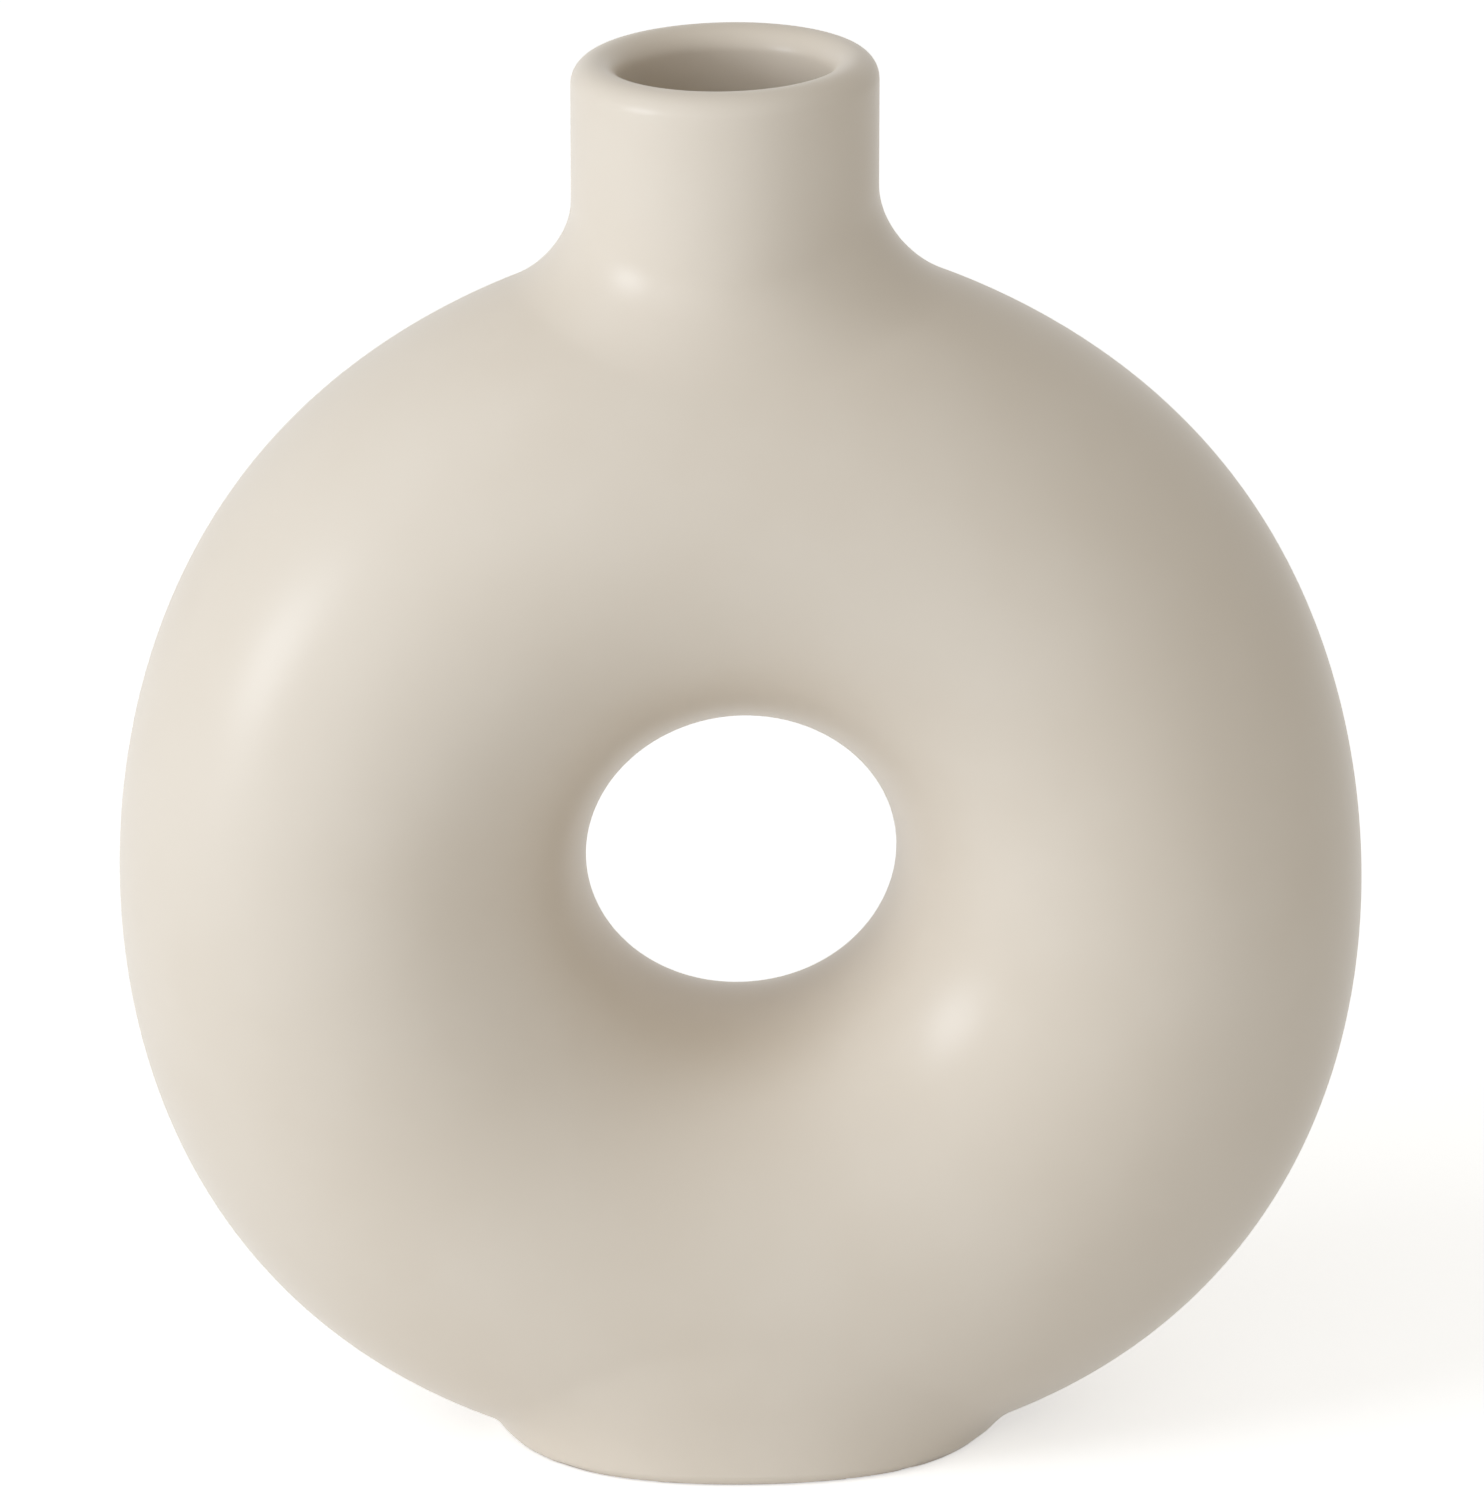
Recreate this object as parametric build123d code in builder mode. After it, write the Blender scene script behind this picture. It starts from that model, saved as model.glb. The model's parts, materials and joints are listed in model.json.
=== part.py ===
"""Donut vase: a hollow ring of fired clay on an oval foot, with a short neck on its crown.

The ring stands upright in the XZ plane with its hole along Y, and its front faces -Y.
The origin is on the foot's underside, under the ring's centre.
The vase is built from two pressed half shells, a thrown neck and a foot plate, which are
luted together with thin beds of clay slip.
"""

import os
from math import atan2, cos, radians, sin

from build123d import *

# Ring, in millimetres
RING_WIDTH = 170.2
RING_HEIGHT = 172.4
RING_DEPTH = 64.0
RING_SINK = 4.6
WALL = 5.0

# Hand-built irregularities of the ring's outline
FULLNESS = 1.95
SAG = 0.55
SKEW = 0.67
CROWN_RISE = 2.3

# Hole through the ring
HOLE_DIAMETER = 42.4
HOLE_RISE = 2.0

# Neck, which is set off the ring's centre line
NECK_DIAMETER = 41.4
NECK_BORE = 28.6
NECK_SHIFT = -2.2
NECK_LENGTH = 16.8
NECK_ROOT_FILLET = 13.0
SHOULDER_RISE = 8.5
BORE_ROOT_FILLET = 3.0

# Foot
FOOT_WIDTH = 68.0
FOOT_MARGIN = 4.5
FOOT_FULLNESS = 1.3
FOOT_SHIFT = 0.5
FOOT_THICKNESS = 6.0
FOOT_ROOT_FILLET = 3.0

# Bed of slip in each joint
SLIP = 0.6

# Angle between the sections of an outline, also next to where the ring closes
OUTLINE_STEP = 15
SEAM_STEP = 1

# How local the crown's rise is
CROWN_POWER = 12

# The foot stays inside the ring's depth
FOOT_DEPTH = RING_DEPTH - 2 * FOOT_MARGIN

# Heights above the foot's underside
RING_CENTRE = RING_HEIGHT / 2 - RING_SINK - SAG
CROWN = RING_CENTRE + RING_HEIGHT / 2 + CROWN_RISE
SHOULDER_TOP = CROWN + SHOULDER_RISE
NECK_BOTTOM = SHOULDER_TOP + SLIP
NECK_TOP = NECK_BOTTOM + NECK_LENGTH
SHELL_BOTTOM = FOOT_THICKNESS + SLIP

# Radii of the neck and its lip
NECK_RADIUS = NECK_DIAMETER / 2
BORE_RADIUS = NECK_BORE / 2
LIP_RADIUS = (NECK_RADIUS - BORE_RADIUS) / 2


def outer_radius(angle):
    """Ring outline: an oval, fuller on its diagonals, sagging, skewed and drawn up at the crown."""
    oval = RING_WIDTH / 2 * cos(angle) ** 2 + RING_HEIGHT / 2 * sin(angle) ** 2
    full = FULLNESS * sin(2 * angle) ** 2
    rise = CROWN_RISE * max(sin(angle), 0) ** CROWN_POWER
    return oval + full + rise - SAG * sin(3 * angle) - SKEW * sin(2 * angle)


def hole_radius(angle):
    """Round hole set a little above the ring's centre, measured from that centre."""
    return HOLE_DIAMETER / 2 + HOLE_RISE * sin(angle)


def section_plane(angle):
    """Plane across the ring's tube, square to the oval, with its local X pointing outwards."""
    middle = (outer_radius(angle) + hole_radius(angle)) / 2
    centre = (middle * cos(angle), 0, RING_CENTRE + middle * sin(angle))
    out = angle - atan2((RING_HEIGHT - RING_WIDTH) / 4 * sin(2 * angle), middle)
    return Plane(centre, x_dir=(cos(out), 0, sin(out)), z_dir=(-sin(out), 0, cos(out)))


def whole_ring(inset):
    """Closed ring whose surface lies the inset below the vase's outer surface."""
    depth = RING_DEPTH / 2 - inset
    sections = []
    for degrees in [0, SEAM_STEP, *range(OUTLINE_STEP, 360, OUTLINE_STEP), 360 - SEAM_STEP]:
        angle = radians(degrees)
        reach = (outer_radius(angle) - hole_radius(angle)) / 2 - inset
        with BuildSketch(section_plane(angle)) as section:
            with BuildLine():
                EllipticalCenterArc((0, 0), reach, depth, -90, arc_size=180)
                EllipticalCenterArc((0, 0), reach, depth, 90, arc_size=180)
            make_face()
        sections.append(section.sketch.face())
    with BuildPart() as ring:
        loft([*sections, sections[0]])
    return ring.part


def tube_middle(degrees):
    """Height of the middle of the ring's tube at the crown (90) or over the foot (-90)."""
    return section_plane(radians(degrees)).origin.Z


def foot_point(degrees):
    """Point on the foot's outline: an oval that is fuller on its diagonals."""
    angle = radians(degrees)
    full = FOOT_FULLNESS * sin(2 * angle) ** 2
    across = FOOT_SHIFT + (FOOT_WIDTH / 2 + full) * cos(angle)
    return (across, (FOOT_DEPTH / 2 + full) * sin(angle))


# Outer form of the body: ring, shoulder under the neck and foot, blended, cut flat to stand
with BuildPart() as form:
    add(whole_ring(0))
    with BuildSketch(Plane.XY.offset(NECK_TOP)):
        with Locations((NECK_SHIFT, 0)):
            Circle(NECK_RADIUS)
    extrude(amount=tube_middle(90) - NECK_TOP)
    fillet(form.edges(Select.LAST).filter_by(GeomType.BSPLINE), NECK_ROOT_FILLET)
    split(bisect_by=Plane.XY.offset(SHOULDER_TOP), keep=Keep.BOTTOM)
    with BuildSketch(Plane.XY.offset(-RING_SINK - FOOT_ROOT_FILLET)):
        with BuildLine():
            Spline(*[foot_point(degrees) for degrees in range(0, 360, OUTLINE_STEP)], periodic=True)
        make_face()
    extrude(amount=tube_middle(-90))
    fillet(form.edges(Select.LAST).group_by(Axis.Z)[-1], FOOT_ROOT_FILLET)
    split(bisect_by=Plane.XY)

# Space inside the ring, open upwards through the neck and flat over the foot
with BuildPart() as cavity:
    add(whole_ring(WALL))
    with BuildSketch(Plane.XY.offset(SHOULDER_TOP)):
        with Locations((NECK_SHIFT, 0)):
            Circle(BORE_RADIUS)
    extrude(amount=tube_middle(90) - SHOULDER_TOP)
    fillet(cavity.edges(Select.LAST).filter_by(GeomType.BSPLINE), BORE_ROOT_FILLET)
    split(bisect_by=Plane.XY.offset(FOOT_THICKNESS))

with BuildPart() as shell:
    add(form.part)
    add(cavity.part, mode=Mode.SUBTRACT)

# Front half shell, pressed in a mould
with BuildPart() as ring_front_half:
    add(shell.part)
    split(bisect_by=Plane.XY.offset(SHELL_BOTTOM))
    split(bisect_by=Plane.XZ.offset(SLIP / 2))

# Back half shell
with BuildPart() as ring_back_half:
    add(shell.part)
    split(bisect_by=Plane.XY.offset(SHELL_BOTTOM))
    split(bisect_by=Plane.XZ.offset(-SLIP / 2), keep=Keep.BOTTOM)

# Slip between the half shells: along both flanks and round the hole
with BuildPart() as seam:
    add(shell.part)
    split(bisect_by=Plane.XY.offset(SHELL_BOTTOM))
    split(bisect_by=Plane.XZ.offset(SLIP / 2), keep=Keep.BOTTOM)
    split(bisect_by=Plane.XZ.offset(-SLIP / 2))

left_bed, hole_bed, right_bed = seam.solids().sort_by(Axis.X)

with BuildPart() as slip_seam_left:
    add(left_bed)

with BuildPart() as slip_seam_hole:
    add(hole_bed)

with BuildPart() as slip_seam_right:
    add(right_bed)

# Neck: a thrown tube with a fully rounded lip
with BuildPart() as neck:
    with BuildSketch(Plane((NECK_SHIFT, 0, 0), x_dir=(1, 0, 0), z_dir=(0, -1, 0))):
        with BuildLine():
            outside = Line((NECK_RADIUS, NECK_BOTTOM), (NECK_RADIUS, NECK_TOP - LIP_RADIUS))
            lip = JernArc(outside @ 1, outside % 1, LIP_RADIUS, 180)
            Polyline(lip @ 1, (BORE_RADIUS, NECK_BOTTOM), outside @ 0)
        make_face()
    revolve(axis=Axis((NECK_SHIFT, 0, 0), (0, 0, 1)))

# Slip under the neck
with BuildPart() as slip_neck:
    with BuildSketch(Plane.XY.offset(SHOULDER_TOP)):
        with Locations((NECK_SHIFT, 0)):
            Circle(NECK_RADIUS)
            Circle(BORE_RADIUS, mode=Mode.SUBTRACT)
    extrude(amount=SLIP)

# Foot: an oval plate that closes the ring's underside
with BuildPart() as foot:
    add(form.part)
    split(bisect_by=Plane.XY.offset(FOOT_THICKNESS), keep=Keep.BOTTOM)

# Slip between the foot and the half shells
with BuildPart() as slip_foot:
    add(shell.part)
    split(bisect_by=Plane.XY.offset(FOOT_THICKNESS))
    split(bisect_by=Plane.XY.offset(SHELL_BOTTOM), keep=Keep.BOTTOM)

pieces = {
    "ring_front_half": ring_front_half,
    "ring_back_half": ring_back_half,
    "neck": neck,
    "foot": foot,
    "slip_seam_left": slip_seam_left,
    "slip_seam_right": slip_seam_right,
    "slip_seam_hole": slip_seam_hole,
    "slip_neck": slip_neck,
    "slip_foot": slip_foot,
}

os.makedirs("parts", exist_ok=True)
for name, piece in pieces.items():
    piece.part.label = name
    export_step(piece.part, f"parts/{name}.step")
print(f"{len(pieces)} pieces, {NECK_TOP:.1f} mm tall, ring centre {RING_CENTRE:.1f} mm up")
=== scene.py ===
# %% [markdown]
# # A donut vase in cream glaze
# This lesson dresses a finished CAD model of a ring-shaped vase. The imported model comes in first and
# fixes where everything is: it is in metres, the origin lies under the ring's centre, the ring stands
# in the XZ plane and its front faces -Y. The vase's sizes below are in millimetres, as a potter would
# note them, and each mesh is scaled to metres when it is finished.

# %% Load the frame
import json
import math

import bmesh
import bpy
import numpy as np
from mathutils import Matrix, Vector

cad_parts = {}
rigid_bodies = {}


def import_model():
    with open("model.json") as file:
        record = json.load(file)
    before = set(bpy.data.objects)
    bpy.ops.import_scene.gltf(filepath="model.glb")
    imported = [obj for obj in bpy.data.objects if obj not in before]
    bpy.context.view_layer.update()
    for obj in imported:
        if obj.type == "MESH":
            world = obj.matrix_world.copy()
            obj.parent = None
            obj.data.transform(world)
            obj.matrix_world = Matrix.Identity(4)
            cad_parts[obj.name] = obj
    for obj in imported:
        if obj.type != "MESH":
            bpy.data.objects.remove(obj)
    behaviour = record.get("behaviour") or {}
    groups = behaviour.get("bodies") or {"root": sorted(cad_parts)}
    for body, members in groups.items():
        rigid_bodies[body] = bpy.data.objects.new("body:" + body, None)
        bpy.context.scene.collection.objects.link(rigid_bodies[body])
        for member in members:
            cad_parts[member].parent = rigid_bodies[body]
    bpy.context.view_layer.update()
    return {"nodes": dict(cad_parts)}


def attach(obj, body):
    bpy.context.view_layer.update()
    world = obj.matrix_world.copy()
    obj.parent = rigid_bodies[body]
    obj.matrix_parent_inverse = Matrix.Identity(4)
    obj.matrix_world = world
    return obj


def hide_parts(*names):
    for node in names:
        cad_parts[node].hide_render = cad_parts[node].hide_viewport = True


for left_over in list(bpy.data.objects):
    bpy.data.objects.remove(left_over)
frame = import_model()
scene = bpy.context.scene
scene.view_settings.view_transform = "Standard"
MM = 0.001
print("CAD nodes:", ", ".join(sorted(frame["nodes"])))

# %% [markdown]
# ## The form of the vase
# The glaze runs over every joint of the clay, so the eye sees one unbroken skin. The CAD solids could
# be shown as they are, but each ends in its own edge, and the foot meets the ring in a crease that the
# glaze hides. A skin that is described by one formula stays unbroken when it is cut into the two halves,
# the foot and the beds of slip. Each function says how far a point lies outside a form, in millimetres,
# and is below zero inside it. Two forms are joined with a rounded valley, as a wet thumb leaves it.

# %% Ring
RING_WIDTH, RING_HEIGHT, RING_DEPTH = 170.2, 172.4, 64.0
RING_CENTRE = 81.05
HOLE_RADIUS, HOLE_RISE = 21.2, 2.0
FULLNESS, SAG, SKEW = 1.95, 0.55, 0.67
CROWN_RISE, CROWN_NARROWNESS = 2.3, 12
# Keeps a division away from zero.
TINY = 1e-9


def ring_outline(angle):
    """Outer radius and hole radius of the hand-built ring, at an angle from +X."""
    outer = RING_WIDTH / 2 * np.cos(angle) ** 2 + RING_HEIGHT / 2 * np.sin(angle) ** 2
    crown = CROWN_RISE * np.maximum(np.sin(angle), 0) ** CROWN_NARROWNESS
    outer += FULLNESS * np.sin(2 * angle) ** 2 + crown
    outer -= SAG * np.sin(3 * angle) + SKEW * np.sin(2 * angle)
    return outer, HOLE_RADIUS + HOLE_RISE * np.sin(angle)


def oval(across, along, half_width, half_length):
    """Distance from an oval's outline, good near the outline."""
    u, v = across / half_width, along / half_length
    share = np.hypot(u, v) + TINY
    return (share - 1) * share / (np.hypot(u / half_width, v / half_length) + TINY)


def tube(p, inset=0.0):
    """The ring's oval tube, or the hollow that lies inset within it."""
    angle = np.arctan2(p[:, 2] - RING_CENTRE, p[:, 0])
    outer, hole = ring_outline(angle)
    radius = np.hypot(p[:, 0], p[:, 2] - RING_CENTRE)
    middle, half = (outer + hole) / 2, (outer - hole) / 2
    return oval(radius - middle, p[:, 1], half - inset, RING_DEPTH / 2 - inset)


quarters = np.radians([0, 90, 180, 270])
print("outer radius right, above, left and below:", ring_outline(quarters)[0].round(1))

# %% Neck and foot
NECK_RADIUS, BORE_RADIUS, NECK_SHIFT = 20.7, 14.3, -2.2
NECK_ROOT = 137.0
FOOT_WIDTH, FOOT_DEPTH, FOOT_SHIFT, FOOT_FULLNESS = 68.0, 55.0, 0.5, 1.3
FOOT_FADE, FOOT_FADE_LENGTH = 12.0, 40.0


def post(p, radius):
    """The upright post of the neck or of its bore, rooted in the crown of the ring."""
    return np.maximum(np.hypot(p[:, 0] - NECK_SHIFT, p[:, 1]) - radius, NECK_ROOT - p[:, 2])


def foot_block(p):
    """The oval foot, which leans in and fades away inside the ring."""
    x, y = p[:, 0] - FOOT_SHIFT, p[:, 1]
    turn = np.arctan2(y / FOOT_DEPTH, x / FOOT_WIDTH)
    full = FOOT_FULLNESS * np.sin(2 * turn) ** 2
    lean = np.maximum(p[:, 2] - FOOT_FADE, 0) ** 2 / FOOT_FADE_LENGTH
    return oval(x, y, FOOT_WIDTH / 2 + full, FOOT_DEPTH / 2 + full) + lean


foot_ends = np.array([[FOOT_SHIFT + side * FOOT_WIDTH / 2, 0, 0] for side in (-1, 1)])
print("the foot's form at its two ends:", foot_block(foot_ends).round(3))

# %% Whole outside and inside
WALL = 5.0
FOOT_EDGE = 1.65
BORE_VALLEY = 3.0
# A valley's width at the left, at the right and in front, and how narrowly the sides keep theirs.
NECK_VALLEY = (8.5, 10.0, 6.0, 2)
FOOT_VALLEY = (2.2, 3.6, 7.0, 4)
# Keeps the turn about an axis smooth on the axis itself.
NEAR_AXIS = 0.01


def joined(a, b, valley):
    """Both forms, with a rounded valley where they meet."""
    return np.maximum(valley, np.minimum(a, b)) - np.hypot(
        np.maximum(valley - a, 0), np.maximum(valley - b, 0)
    )


def valley_width(p, centre, left, right, front, narrowness):
    """A valley's width around an upright axis, which changes smoothly from side to front and back."""
    x = p[:, 0] - centre
    turn = x / np.hypot(np.hypot(x, p[:, 1]), NEAR_AXIS)
    side = np.abs(turn) ** narrowness
    return front + (np.where(turn < 0, left, right) - front) * side


def outer_form(p):
    """Ring, neck and foot in one, flat below, with a rounded lower edge."""
    form = joined(tube(p), post(p, NECK_RADIUS), valley_width(p, NECK_SHIFT, *NECK_VALLEY))
    form = joined(form, foot_block(p), valley_width(p, FOOT_SHIFT, *FOOT_VALLEY))
    below = -p[:, 2]
    return np.minimum(-FOOT_EDGE, np.maximum(form, below)) + np.hypot(
        np.maximum(FOOT_EDGE + form, 0), np.maximum(FOOT_EDGE + below, 0)
    )


def inner_form(p):
    """The hollow of the ring, open to the neck's bore."""
    return joined(tube(p, WALL), post(p, BORE_RADIUS), BORE_VALLEY)


inner_flank = np.array([[ring_outline(0.0)[0] - WALL, 0.0, RING_CENTRE]])
print("wall at the right flank in mm:", -outer_form(inner_flank).round(2))

# %% [markdown]
# ## From rough clay to the skin
# A potter starts from a rolled ring, a post and a plate, and smooths them together. The mesh is made the
# same way: a circle is spun into a ring, two cones make the post and the plate, and the Remesh modifier
# melts them into one net of small even faces. Each vertex is then pulled along the formula's slope until
# it lies on the surface. Subdividing a hand-made cage could give such a skin too, but its faces crowd at
# the neck and the foot, where the shading would show it.

# %% Rough clay
NECK_TOP, POST_BOTTOM, PLATE_TOP = 195.45, 150.0, 20.0
BLOCK_SIDES, COIL_SIDES, RING_STEPS = 96, 64, 128


def block(clay, radius, bottom, top, centre, depth_share=1.0):
    """An upright round or oval block."""
    made = bmesh.ops.create_cone(
        clay, cap_ends=True, segments=BLOCK_SIDES, radius1=radius, radius2=radius, depth=top - bottom
    )
    bmesh.ops.scale(clay, vec=(1, depth_share, 1), verts=made["verts"])
    bmesh.ops.translate(clay, vec=(centre, 0, (bottom + top) / 2), verts=made["verts"])


def rolled_ring(clay, thickness):
    """A rolled coil of clay, closed to a ring."""
    coil = bmesh.ops.create_circle(clay, segments=COIL_SIDES, radius=thickness / 2)["verts"]
    middle = (RING_WIDTH / 2 + HOLE_RADIUS) / 2
    bmesh.ops.translate(clay, vec=(middle, 0, RING_CENTRE), verts=coil)
    bmesh.ops.spin(
        clay,
        geom=clay.verts[:] + clay.edges[:],
        cent=(0, 0, RING_CENTRE),
        axis=(0, 1, 0),
        angle=math.tau,
        steps=RING_STEPS,
        use_merge=True,
    )


rough_outside = bmesh.new()
rolled_ring(rough_outside, RING_DEPTH)
block(rough_outside, NECK_RADIUS, POST_BOTTOM, NECK_TOP, NECK_SHIFT)
block(rough_outside, FOOT_WIDTH / 2, 0, PLATE_TOP, FOOT_SHIFT, FOOT_DEPTH / FOOT_WIDTH)
rough_inside = bmesh.new()
rolled_ring(rough_inside, RING_DEPTH - 2 * WALL)
block(rough_inside, BORE_RADIUS, POST_BOTTOM, NECK_TOP, NECK_SHIFT)
print("rough clay outside and inside, faces:", len(rough_outside.faces), len(rough_inside.faces))

# %% Cutting wire
UP, DOWN, FRONT, BACK = (0, 0, 1), (0, 0, -1), (0, -1, 0), (0, 1, 0)
# Marks that tell the faces of the skin from those of a cut.
OUTSIDE, INSIDE, CUT = 0, 1, 2
ON_PLANE = 1e-5


def sliced(clay, point, away):
    """Cut off what lies beyond a plane, and close the cut with flat faces."""
    made = bmesh.ops.bisect_plane(
        clay,
        geom=clay.verts[:] + clay.edges[:] + clay.faces[:],
        dist=ON_PLANE,
        plane_co=point,
        plane_no=away,
        clear_outer=True,
    )
    rim = [part for part in made["geom_cut"] if isinstance(part, bmesh.types.BMEdge)]
    closed = bmesh.ops.triangle_fill(clay, edges=rim, use_beauty=True, normal=away)
    flat = [part for part in closed["geom"] if isinstance(part, bmesh.types.BMFace)]
    clay.normal_update()
    turned = [face for face in flat if face.normal.dot(Vector(away)) < 0]
    bmesh.ops.reverse_faces(clay, faces=turned)
    for face in flat:
        face.material_index = CUT
    return clay


sliced(rough_outside, (0, 0, 0), DOWN)
print("faces left above the table:", len(rough_outside.faces))

# %% Even net
OUTSIDE_VOXEL, INSIDE_VOXEL = 1.2, 2.0


def melted(clay, name, voxel):
    """One net of small even faces around all the blocks, still in millimetres."""
    bmesh.ops.recalc_face_normals(clay, faces=clay.faces)
    mesh = bpy.data.meshes.new(name)
    clay.to_mesh(mesh)
    clay.free()
    rough = bpy.data.objects.new(name, mesh)
    scene.collection.objects.link(rough)
    melt = rough.modifiers.new("melt", "REMESH")
    melt.mode = "VOXEL"
    melt.voxel_size = voxel
    net = bpy.data.meshes.new_from_object(rough.evaluated_get(bpy.context.evaluated_depsgraph_get()))
    bpy.data.objects.remove(rough)
    return net


outside_net = melted(rough_outside, "outside", OUTSIDE_VOXEL)
inside_net = melted(rough_inside, "inside", INSIDE_VOXEL)
print("nets outside and inside, faces:", len(outside_net.polygons), len(inside_net.polygons))

# %% Pull the net onto the form
SLOPE_STEP, LEAST_SLOPE_SQUARED = 0.02, 0.2
PULLS, SMOOTH_ROUNDS, SMOOTH_SHARE = 6, 3, 0.5


def slope(form, p):
    """Direction in which a form's distance grows, which is its surface's normal."""
    rises = [form(p + SLOPE_STEP * axis) - form(p - SLOPE_STEP * axis) for axis in np.eye(3)]
    return np.stack(rises, axis=1) / (2 * SLOPE_STEP)


def spots_of(mesh):
    """Places of a mesh's vertices, one row each."""
    spots = np.empty(3 * len(mesh.vertices))
    mesh.vertices.foreach_get("co", spots)
    return spots.reshape(-1, 3)


def settle(net, form):
    """Pull every vertex along the form's slope until it lies on the surface."""
    spots = spots_of(net)
    for _ in range(PULLS):
        rise = slope(form, spots)
        steepness = np.maximum((rise**2).sum(axis=1), LEAST_SLOPE_SQUARED)
        spots -= (form(spots) / steepness)[:, None] * rise
    net.vertices.foreach_set("co", spots.ravel())


def skin(net, form, mark):
    """The settled net as a bmesh, evened out by smoothing, with a mark on its faces."""
    settle(net, form)
    evened = bmesh.new()
    for _ in range(SMOOTH_ROUNDS):
        evened.from_mesh(net)
        bmesh.ops.smooth_vert(
            evened,
            verts=evened.verts,
            factor=SMOOTH_SHARE,
            use_axis_x=True,
            use_axis_y=True,
            use_axis_z=True,
        )
        evened.to_mesh(net)
        evened.clear()
        settle(net, form)
    evened.from_mesh(net)
    for face in evened.faces:
        face.material_index = mark
    return evened


outside = skin(outside_net, outer_form, OUTSIDE)
inside = skin(inside_net, inner_form, INSIDE)
bmesh.ops.reverse_faces(inside, faces=inside.faces)
off_form = np.abs(outer_form(spots_of(outside_net)))
print("farthest vertex off the outer form in mm:", off_form.max().round(4))

# %% [markdown]
# ## Cutting the skin into the vase's own pieces
# The real ring is two pressed halves, joined by beds of slip, on a foot plate that is slipped on below.
# Each piece could be modelled by itself, but its edges would never quite meet its neighbour's. Copies of
# the wall are cut with planes at the joints instead, and each cut is closed at once. The normals of the
# skin are taken from the formula and not from the faces, so that the shading runs over a joint as the
# glaze does. The cut faces keep their own flat normals.

# %% Wall of the ring
SHOULDER_TOP, SHELL_BOTTOM = 178.05, 6.6
shell = outside.copy()
carried = bpy.data.meshes.new("inside")
inside.to_mesh(carried)
inside.free()
shell.from_mesh(carried)
bpy.data.meshes.remove(carried)
sliced(shell, (0, 0, SHOULDER_TOP), UP)
slip = shell.copy()
sliced(shell, (0, 0, SHELL_BOTTOM), DOWN)
print("faces of the hollow ring:", len(shell.faces))


# %% Glazed normals
def glazed_normals(mesh):
    """Normals of the formula's surface on the skin, and flat ones on the cuts."""
    spots = spots_of(mesh)
    corners = np.empty(len(mesh.loops), dtype=int)
    mesh.loops.foreach_get("vertex_index", corners)
    marks, sizes = (np.empty(len(mesh.polygons), dtype=int) for _ in range(2))
    mesh.polygons.foreach_get("material_index", marks)
    mesh.polygons.foreach_get("loop_total", sizes)
    flat = np.empty(3 * len(mesh.polygons))
    mesh.polygons.foreach_get("normal", flat)
    normals = np.repeat(flat.reshape(-1, 3), sizes, axis=0)
    corner_marks = np.repeat(marks, sizes)
    for mark, form, sign in ((OUTSIDE, outer_form, 1), (INSIDE, inner_form, -1)):
        chosen = corner_marks == mark
        steepest = sign * slope(form, spots[corners[chosen]])
        normals[chosen] = steepest / np.linalg.norm(steepest, axis=1)[:, None]
    return normals


# %% Halves of the ring
SLIP = 0.6
pieces = {}


def piece(clay, node, from_form=True):
    """A finished piece of the vase, which stands for a CAD node."""
    mesh = bpy.data.meshes.new(node + "_skin")
    clay.to_mesh(mesh)
    clay.free()
    mesh.shade_smooth()
    normals = glazed_normals(mesh) if from_form else None
    mesh.polygons.foreach_set("material_index", [0] * len(mesh.polygons))
    mesh.transform(Matrix.Scale(MM, 4))
    if from_form:
        mesh.normals_split_custom_set(normals.tolist())
    made = bpy.data.objects.new(node + "_skin", mesh)
    scene.collection.objects.link(made)
    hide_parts(node)
    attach(made, "root")
    pieces[node] = made
    print(node, "has", len(mesh.polygons), "faces")


for node, cut_at, away in (("ring_front_half", -SLIP / 2, BACK), ("ring_back_half", SLIP / 2, FRONT)):
    piece(sliced(shell.copy(), (0, cut_at, 0), away), node)

# %% [markdown]
# ## Beds of slip
# Slip is clay stirred with water to a cream, and it is the potter's glue. It lies between the foot and
# the ring, and between the two halves along both flanks and round the hole. Thin slabs could be bent to
# these lines, but slices of the same wall fill the gaps exactly.

# %% Slip over the foot and along the seam
FOOT_TOP = 6.0
sliced(slip, (0, 0, SHELL_BOTTOM), UP)
sliced(slip, (0, 0, FOOT_TOP), DOWN)
piece(slip, "slip_foot")
seam = sliced(sliced(shell, (0, -SLIP / 2, 0), FRONT), (0, SLIP / 2, 0), BACK)


def bed(node, wanted):
    """The part of the seam's slip for which the wanted test holds."""
    part = seam.copy()
    bmesh.ops.delete(part, geom=[v for v in part.verts if not wanted(v.co)], context="VERTS")
    piece(part, node)


def at_hole(spot):
    """Whether a spot of the seam lies round the hole, and not on a flank."""
    return math.hypot(spot.x, spot.z - RING_CENTRE) < HOLE_RADIUS + 2 * WALL


bed("slip_seam_hole", at_hole)
bed("slip_seam_left", lambda spot: spot.x < 0 and not at_hole(spot))
bed("slip_seam_right", lambda spot: spot.x > 0 and not at_hole(spot))
seam.free()

# %% [markdown]
# ## The foot
# The foot is an oval plate that closes the ring's underside and stands on the table. It could be
# bevelled from an oval, but the outside form already holds its outline, its soft lower edge and the
# valley above it, so one cut under the slip is enough.

# %% Foot plate
piece(sliced(outside, (0, 0, FOOT_TOP), UP), "foot")

# %% [markdown]
# ## The neck and its bed of slip
# The neck is a thick collar, rolled and set on the shoulder, with a fully rounded lip. The formula could
# give it too, but the lip is rounder when it is turned as on a wheel: an upright rectangle is the wall's
# section, its two top corners are rounded until they almost meet, and the section is spun about the
# neck's own axis. The mouth of a hand-set collar isn't quite level: its right side stands almost a
# millimetre higher than its left.

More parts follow.
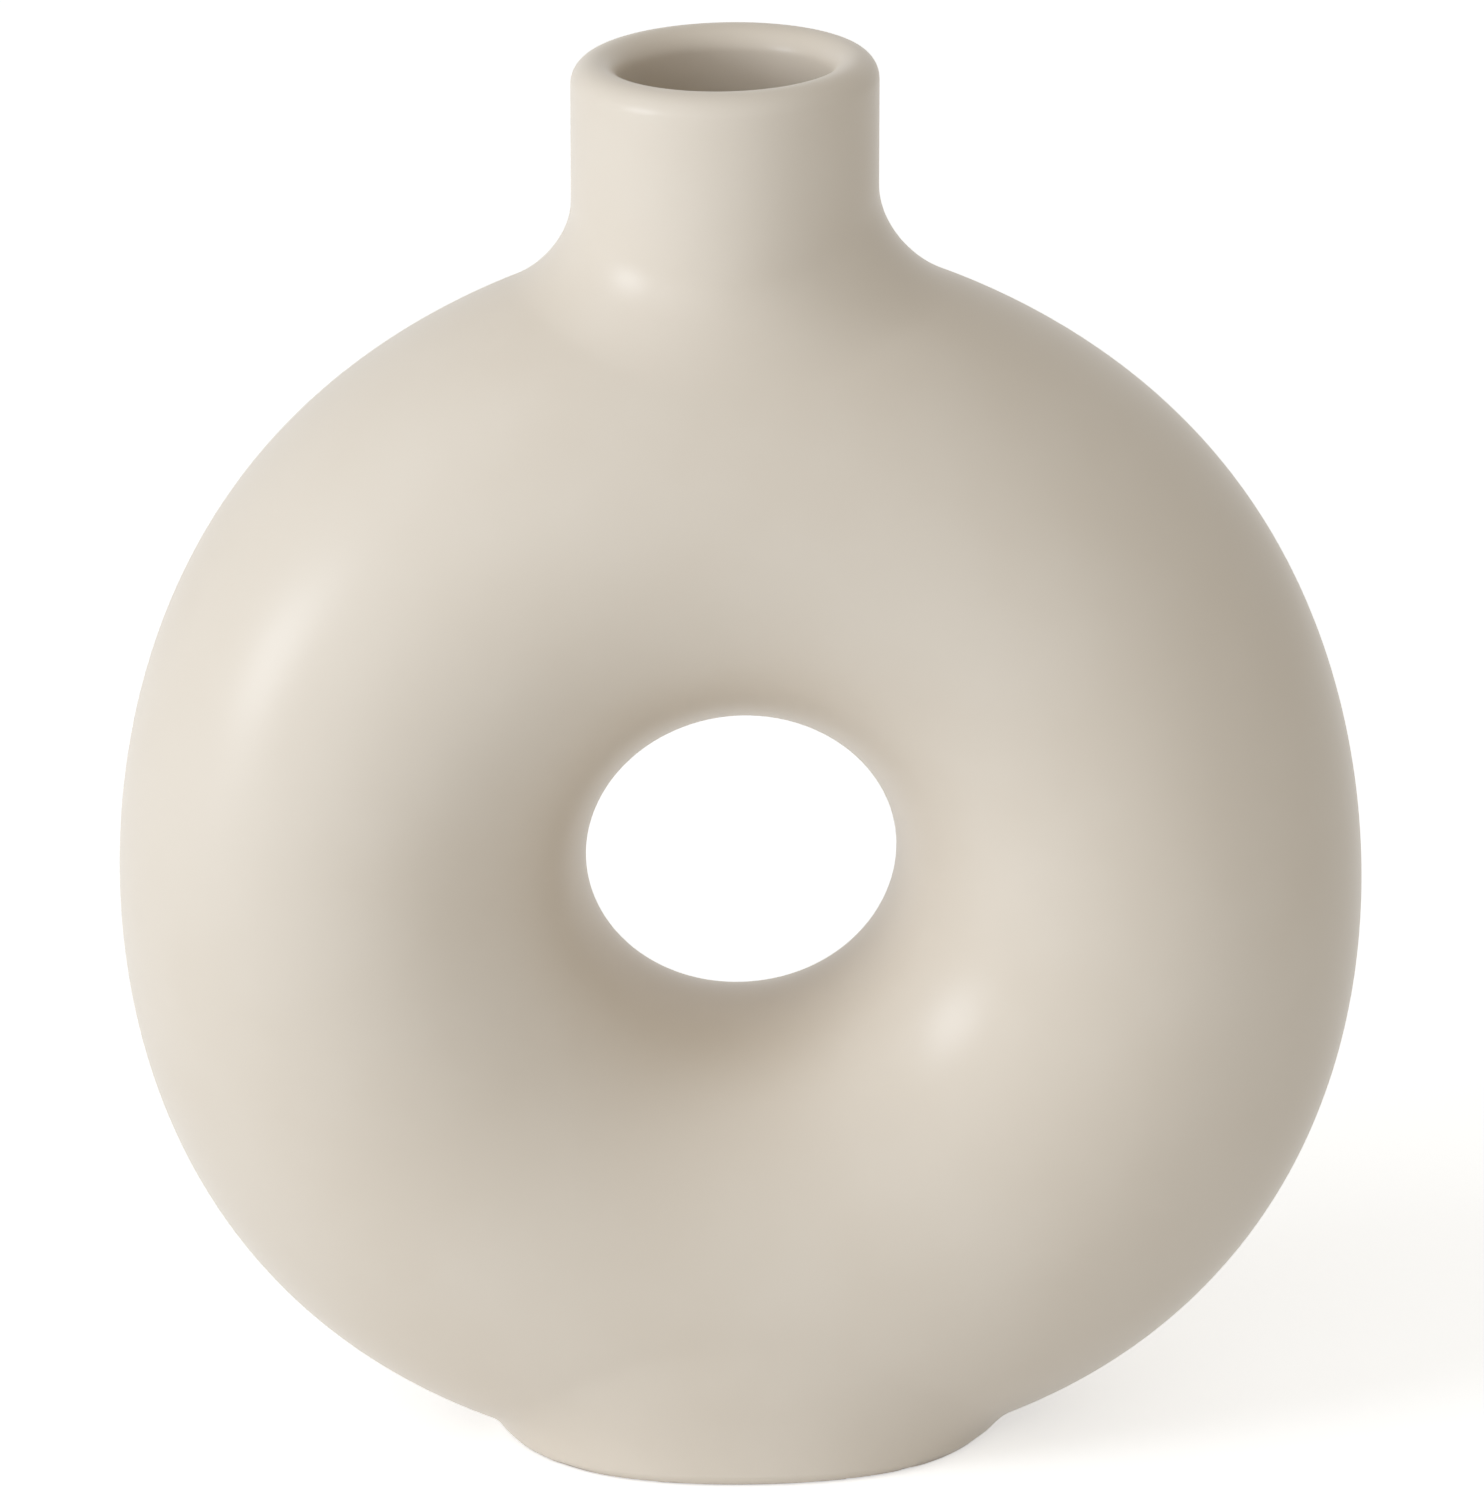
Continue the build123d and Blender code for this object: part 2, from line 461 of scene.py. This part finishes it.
# %% Turned collar
NECK_BOTTOM = 178.65
# The lip's radius is a hair under half the wall, so that its two rounded corners don't overlap.
LIP = 0.999 * (NECK_RADIUS - BORE_RADIUS) / 2
MOUTH_TILT = 0.021
LIP_SEGMENTS, WALL_CUTS, WHEEL_STEPS = 14, 8, 144
LONG_EDGE, WELD = 5.0, 0.02
SHARP = math.radians(40)


def collar(bottom, top, lip=0.0):
    """A turned ring of clay, with a lip rounded by the given radius."""
    clay = bmesh.new()
    bmesh.ops.create_grid(clay, x_segments=1, y_segments=1, size=0.5)
    bmesh.ops.scale(clay, vec=(NECK_RADIUS - BORE_RADIUS, top - bottom, 1), verts=clay.verts)
    bmesh.ops.rotate(clay, matrix=Matrix.Rotation(math.pi / 2, 3, "X"), verts=clay.verts)
    centre = NECK_SHIFT + (NECK_RADIUS + BORE_RADIUS) / 2
    bmesh.ops.translate(clay, vec=(centre, 0, (bottom + top) / 2), verts=clay.verts)
    if lip:
        corners = [v for v in clay.verts if v.co.z > (bottom + top) / 2]
        bmesh.ops.bevel(
            clay,
            geom=corners,
            offset=lip,
            offset_type="OFFSET",
            segments=LIP_SEGMENTS,
            profile=0.5,
            material=-1,
            affect="VERTICES",
        )
    bmesh.ops.delete(clay, geom=clay.faces[:], context="FACES_ONLY")
    walls = [e for e in clay.edges if abs(e.verts[0].co.z - e.verts[1].co.z) > LONG_EDGE]
    bmesh.ops.subdivide_edges(clay, edges=walls, cuts=WALL_CUTS)
    bmesh.ops.spin(
        clay,
        geom=clay.verts[:] + clay.edges[:],
        cent=(NECK_SHIFT, 0, 0),
        axis=UP,
        angle=math.tau,
        steps=WHEEL_STEPS,
        use_merge=True,
    )
    bmesh.ops.remove_doubles(clay, verts=clay.verts, dist=WELD)
    bmesh.ops.recalc_face_normals(clay, faces=clay.faces)
    for edge in clay.edges:
        edge.smooth = edge.calc_face_angle() < SHARP
    if lip:
        for vert in clay.verts:
            height = (vert.co.z - bottom) / (top - bottom)
            vert.co.z += MOUTH_TILT * height * (vert.co.x - NECK_SHIFT)
    return clay


piece(collar(SHOULDER_TOP, NECK_BOTTOM), "slip_neck", from_form=False)
piece(collar(NECK_BOTTOM, NECK_TOP, LIP), "neck", from_form=False)

# %% [markdown]
# ## Shader maths
# Each finish is a small net of nodes. They could be added and linked one by one, but then a plain sum
# takes several lines. Here one class stands for a node's socket, so that sums of masks and noises are
# written as expressions, and one method adds any other node, with its settings first and its sockets
# after them.


# %% Sockets as values
class Wire:
    """One node socket, on which plain arithmetic adds Math nodes."""

    def __init__(self, finish, socket):
        self.finish = finish
        self.socket = socket

    def maths(self, operation, *values):
        """A Math node on values or sockets."""
        return self.finish.node("ShaderNodeMath", {"operation": operation}, dict(enumerate(values)))

    def __add__(self, other):
        return self.maths("ADD", self, other)

    def __radd__(self, other):
        return self.maths("ADD", other, self)

    def __sub__(self, other):
        return self.maths("SUBTRACT", self, other)

    def __rsub__(self, other):
        return self.maths("SUBTRACT", other, self)

    def __mul__(self, other):
        return self.maths("MULTIPLY", self, other)

    def __rmul__(self, other):
        return self.maths("MULTIPLY", other, self)

    def larger(self, other):
        """The larger one of two values."""
        return self.maths("MAXIMUM", self, other)


class Finish:
    """The node tree of a material or of the world."""

    def __init__(self, owner):
        owner.use_nodes = True
        self.tree = owner.node_tree
        self.tree.nodes.clear()

    def node(self, kind, settings=None, sockets=None, output=0):
        """A new node of any type, of which one output is handed on."""
        made = self.tree.nodes.new(kind)
        for name, value in (settings or {}).items():
            setattr(made, name, value)
        for name, value in (sockets or {}).items():
            if isinstance(value, Wire):
                self.tree.links.new(value.socket, made.inputs[name])
            else:
                made.inputs[name].default_value = value
        return Wire(self, made.outputs[output]) if made.outputs else None

    def ramp(self, value, start, end):
        """0 up to start, 1 from end on, with a soft step between them; start may be above end."""
        return self.node(
            "ShaderNodeMapRange",
            {"interpolation_type": "SMOOTHSTEP"},
            {"Value": value, "From Min": start, "From Max": end},
        )

    def blend(self, share, first, second):
        """One colour turning into another."""
        return self.node(
            "ShaderNodeMix",
            {"data_type": "RGBA"},
            {"Factor": share, "A": first, "B": second},
            output="Result",
        )


# %% [markdown]
# ## Satin cream glaze
# The glaze is an opaque cream with a satin sheen. It pools a little unevenly, so its colour drifts in
# soft clouds a few centimetres wide, and its surface has the fine ripple that potters call orange peel.
# It runs thin over the lip and over the foot's lower edge, where the clay warms it. Under the foot it is
# wiped off before firing, and the bare clay shows its grain. A painted picture could give all this, but
# noises on the object's own coordinates stay sharp at any distance and need no unwrapping.

# %% Glaze
CREAM, POOLED, THIN = (0.72, 0.64, 0.54, 1), (0.75, 0.675, 0.58, 1), (0.66, 0.575, 0.475, 1)
BARE, BARE_GRAIN = (0.52, 0.43, 0.335, 1), (0.60, 0.51, 0.41, 1)
# Noises: patches to a metre and layers of finer detail, and the values between which colours turn.
CLOUDS, PEEL, GRAIN = (26.0, 3.0), (420.0, 2.0), (1500.0, 4.0)
CLOUD_TURN, GRAIN_TURN = (0.3, 0.7), (0.35, 0.65)
# Heights in metres between which the glaze thins or ends, and how far the clouds make them wander.
LIP_TOP = NECK_TOP * MM
LIP_THINS, LIP_WANDER = (LIP_TOP - 0.0009, LIP_TOP + 0.0003), 0.0006
EDGE_THINS, EDGE_WANDER = (0.0024, 0.0006), 0.0012
GLAZE_ENDS, END_WANDER = (0.0005, 0.0002), 0.0003
# How much of the thin colour shows on the lip and on the foot's lower edge.
LIP_SHARE, EDGE_SHARE = 0.1, 0.25
# The satin's reflection, its roughness and what dulls it, and the heights of its relief in metres.
SHEEN = 0.31
SATIN, CLOUD_DULLS, EDGE_DULLS, BARE_DULLS = 0.3, 0.06, 0.08, 0.4
CLOUD_RELIEF, PEEL_RELIEF, GRAIN_RELIEF = 0.00012, 0.000006, 0.00006


def cream_glaze(name, wiped_foot=False):
    """The glaze, and with a wiped foot also the bare clay under it."""
    made = bpy.data.materials.new(name)
    finish = Finish(made)
    place = finish.node("ShaderNodeTexCoord", output="Object")
    height = finish.node("ShaderNodeSeparateXYZ", {}, {"Vector": place}, output="Z")

    def noise(scale, detail):
        return finish.node("ShaderNodeTexNoise", {}, {"Vector": place, "Scale": scale, "Detail": detail})

    cloud = noise(*CLOUDS)
    lip = finish.ramp(height + LIP_WANDER * cloud, *LIP_THINS)
    edge = finish.ramp(height + EDGE_WANDER * cloud, *EDGE_THINS)
    colour = finish.blend(finish.ramp(cloud, *CLOUD_TURN), CREAM, POOLED)
    colour = finish.blend(LIP_SHARE * lip + EDGE_SHARE * edge, colour, THIN)
    roughness = SATIN + CLOUD_DULLS * cloud + EDGE_DULLS * edge
    ripple = CLOUD_RELIEF * cloud + PEEL_RELIEF * noise(*PEEL)
    if wiped_foot:
        bare = finish.ramp(height + END_WANDER * cloud, *GLAZE_ENDS)
        grain = noise(*GRAIN)
        clay_colour = finish.blend(finish.ramp(grain, *GRAIN_TURN), BARE, BARE_GRAIN)
        colour = finish.blend(bare, colour, clay_colour)
        roughness = roughness + BARE_DULLS * bare
        ripple = ripple + GRAIN_RELIEF * (bare * grain)
    relief = finish.node("ShaderNodeBump", {}, {"Height": ripple, "Strength": 1.0, "Distance": 1.0})
    skin_shader = finish.node(
        "ShaderNodeBsdfPrincipled",
        {},
        {"Base Color": colour, "Roughness": roughness, "Normal": relief, "Specular IOR Level": SHEEN},
    )
    finish.node("ShaderNodeOutputMaterial", {}, {"Surface": skin_shader})
    return made


glaze = cream_glaze("cream_glaze")
foot_glaze = cream_glaze("foot_glaze", wiped_foot=True)
for node, made in pieces.items():
    made.data.materials.append(foot_glaze if node == "foot" else glaze)
print("glazed pieces:", len(pieces))

# %% [markdown]
# ## Camera
# The picture is taken from a little left of the middle and from about twenty degrees above, with a long
# lens, so that the ring looks almost without perspective. A shifted lens could frame the vase, but the
# shift would stay in every other view, so the camera is aimed a little above the ring's centre instead.

# %% Camera
AZIMUTH, ELEVATION, DISTANCE = math.radians(-2.13), math.radians(19.5), 1.5
LENS = 262.64
CENTRE = Vector((0, 0, RING_CENTRE * MM))
AIM = CENTRE + Vector((0.00009, 0, 0.01649))


def seen_from(azimuth, elevation, distance):
    """A place around the ring's centre; azimuth 0 is in front, and positive to the right."""
    return CENTRE + distance * Vector(
        (
            math.sin(azimuth) * math.cos(elevation),
            -math.cos(azimuth) * math.cos(elevation),
            math.sin(elevation),
        )
    )


camera = bpy.data.objects.new("camera", bpy.data.cameras.new("camera"))
scene.collection.objects.link(camera)
scene.camera = camera
camera.data.lens = LENS
camera.location = seen_from(AZIMUTH, ELEVATION, DISTANCE)
camera.rotation_euler = (AIM - camera.location).to_track_quat("-Z", "Y").to_euler()
print("camera at", [round(value, 3) for value in camera.location])

# %% [markdown]
# ## Studio
# The vase stands on white paper in a bright room. Three soft panels light it: a window on its left, a
# broad veil at the front left and a skylight above on the left. The small highlights on the glaze are
# the window's reflections alone, so the veil and the skylight are hidden from reflections. Stronger
# lamps could turn the paper white, but they would bleach the vase too. Paper and room are therefore
# lifted to white only where the camera sees them, directly, mirrored or through glass, and the paper
# keeps the vase's soft shadow.

# %% Paper floor
PAPER_REACH, PAPER_GAP = 3, 0.05 * MM
PAPER_LIFT = 0.52
PAPER, WHITE = (0.9, 0.9, 0.9, 1), (1, 1, 1, 1)
sheet = bmesh.new()
bmesh.ops.create_grid(sheet, x_segments=1, y_segments=1, size=PAPER_REACH)
bmesh.ops.translate(sheet, vec=(0, 0, -PAPER_GAP), verts=sheet.verts)
floor_mesh = bpy.data.meshes.new("floor")
sheet.to_mesh(floor_mesh)
sheet.free()
floor = bpy.data.objects.new("floor", floor_mesh)
scene.collection.objects.link(floor)


def background_ray(finish):
    """1 for what the camera sees directly, mirrored or through glass, and 0 for light on the vase."""
    direct, mirrored, through_glass = (
        finish.node("ShaderNodeLightPath", output=ray)
        for ray in ("Is Camera Ray", "Is Glossy Ray", "Is Transmission Ray")
    )
    return direct.larger(mirrored.larger(through_glass))


paper = bpy.data.materials.new("white_paper")
finish = Finish(paper)
matt = finish.node("ShaderNodeBsdfDiffuse", {}, {"Color": PAPER})
glow = PAPER_LIFT * background_ray(finish)
lift = finish.node("ShaderNodeEmission", {}, {"Color": WHITE, "Strength": glow})
lifted = finish.node("ShaderNodeAddShader", {}, {0: matt, 1: lift})
finish.node("ShaderNodeOutputMaterial", {}, {"Surface": lifted})
floor_mesh.materials.append(paper)
print("paper floor, metres across:", 2 * PAPER_REACH)

# %% Room
ROOM = 0.45
ROOM_COLOUR = (1.03, 1.0, 0.93, 1)
world = bpy.data.worlds.new("studio")
scene.world = world
finish = Finish(world)
white = background_ray(finish)
walls = finish.blend(white, ROOM_COLOUR, WHITE)
room = finish.node("ShaderNodeBackground", {}, {"Color": walls, "Strength": ROOM + (1 - ROOM) * white})
finish.node("ShaderNodeOutputWorld", {}, {"Surface": room})
print("light from the room:", ROOM)

# %% Lamps
DAYLIGHT = (0.935, 1.0, 1.09)
LAMP_DISTANCE = 2.6


def softbox(name, azimuth, elevation, width, height, power, mirrored=True):
    """A panel of light that faces the vase; angles in degrees, lengths in metres, power in watts."""
    lamp = bpy.data.lights.new(name, "AREA")
    lamp.shape = "RECTANGLE"
    lamp.size, lamp.size_y = width, height
    lamp.energy = power
    lamp.color = DAYLIGHT
    holder = bpy.data.objects.new(name, lamp)
    scene.collection.objects.link(holder)
    holder.location = seen_from(math.radians(azimuth), math.radians(elevation), LAMP_DISTANCE)
    holder.rotation_euler = (CENTRE - holder.location).to_track_quat("-Z", "Y").to_euler()
    holder.visible_glossy = mirrored
    print(name, "at", [round(value, 2) for value in holder.location])


softbox("window", azimuth=-67, elevation=11, width=0.85, height=0.76, power=20.5)
softbox("veil", azimuth=-26, elevation=12, width=1.6, height=1.0, power=12.0, mirrored=False)
softbox("skylight", azimuth=-60, elevation=48, width=1.6, height=1.6, power=10.2, mirrored=False)
